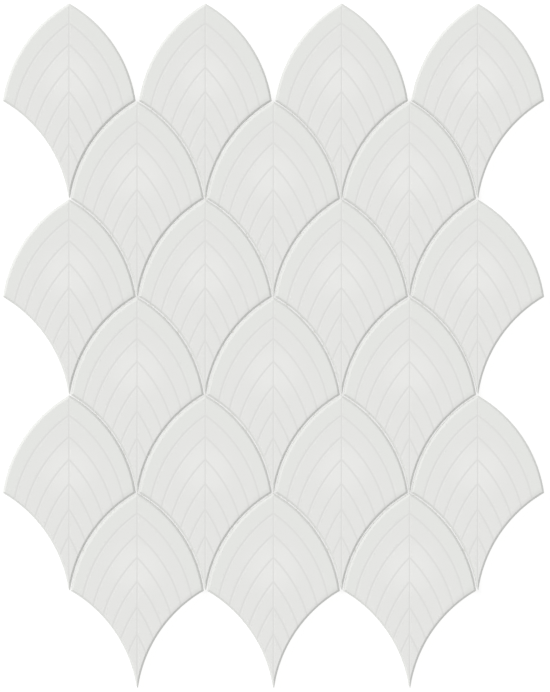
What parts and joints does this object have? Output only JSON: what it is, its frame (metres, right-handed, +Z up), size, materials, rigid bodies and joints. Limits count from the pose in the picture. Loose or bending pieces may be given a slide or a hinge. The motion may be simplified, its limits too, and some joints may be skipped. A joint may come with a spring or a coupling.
{
  "type": "fish scale tile",
  "caption": "Sheet of pointed fish scale tiles in offset interlocking rows, with bevelled rims and a grooved midrib on each tile, held together by a net glued across the backs.",
  "frame": {"origin": "under the middle of the sheet's outline, on the plane it rests on", "axes": "+Z up out of the glazed faces, +Y from the bottom row to the top row along the tiles' centrelines, +X along the rows"},
  "size_m": [0.2504, 0.3166, 0.0075],
  "materials": {
    "tile": "smooth satin off-white glaze",
    "net": "white glass yarn, flat and dull"
  },
  "bodies": {
    "root": {"tile_r1_c1": "tile", "tile_r1_c2": "tile", "tile_r1_c3": "tile", "tile_r1_c4": "tile", "tile_r2_c1": "tile", "tile_r2_c2": "tile", "tile_r2_c3": "tile", "tile_r3_c1": "tile", "tile_r3_c2": "tile", "tile_r3_c3": "tile", "tile_r3_c4": "tile", "tile_r4_c1": "tile", "tile_r4_c2": "tile", "tile_r4_c3": "tile", "tile_r5_c1": "tile", "tile_r5_c2": "tile", "tile_r5_c3": "tile", "tile_r5_c4": "tile", "tile_r6_c1": "tile", "tile_r6_c2": "tile", "tile_r6_c3": "tile", "net_weft": "net", "net_warp": "net"}
  },
  "joints": []
}
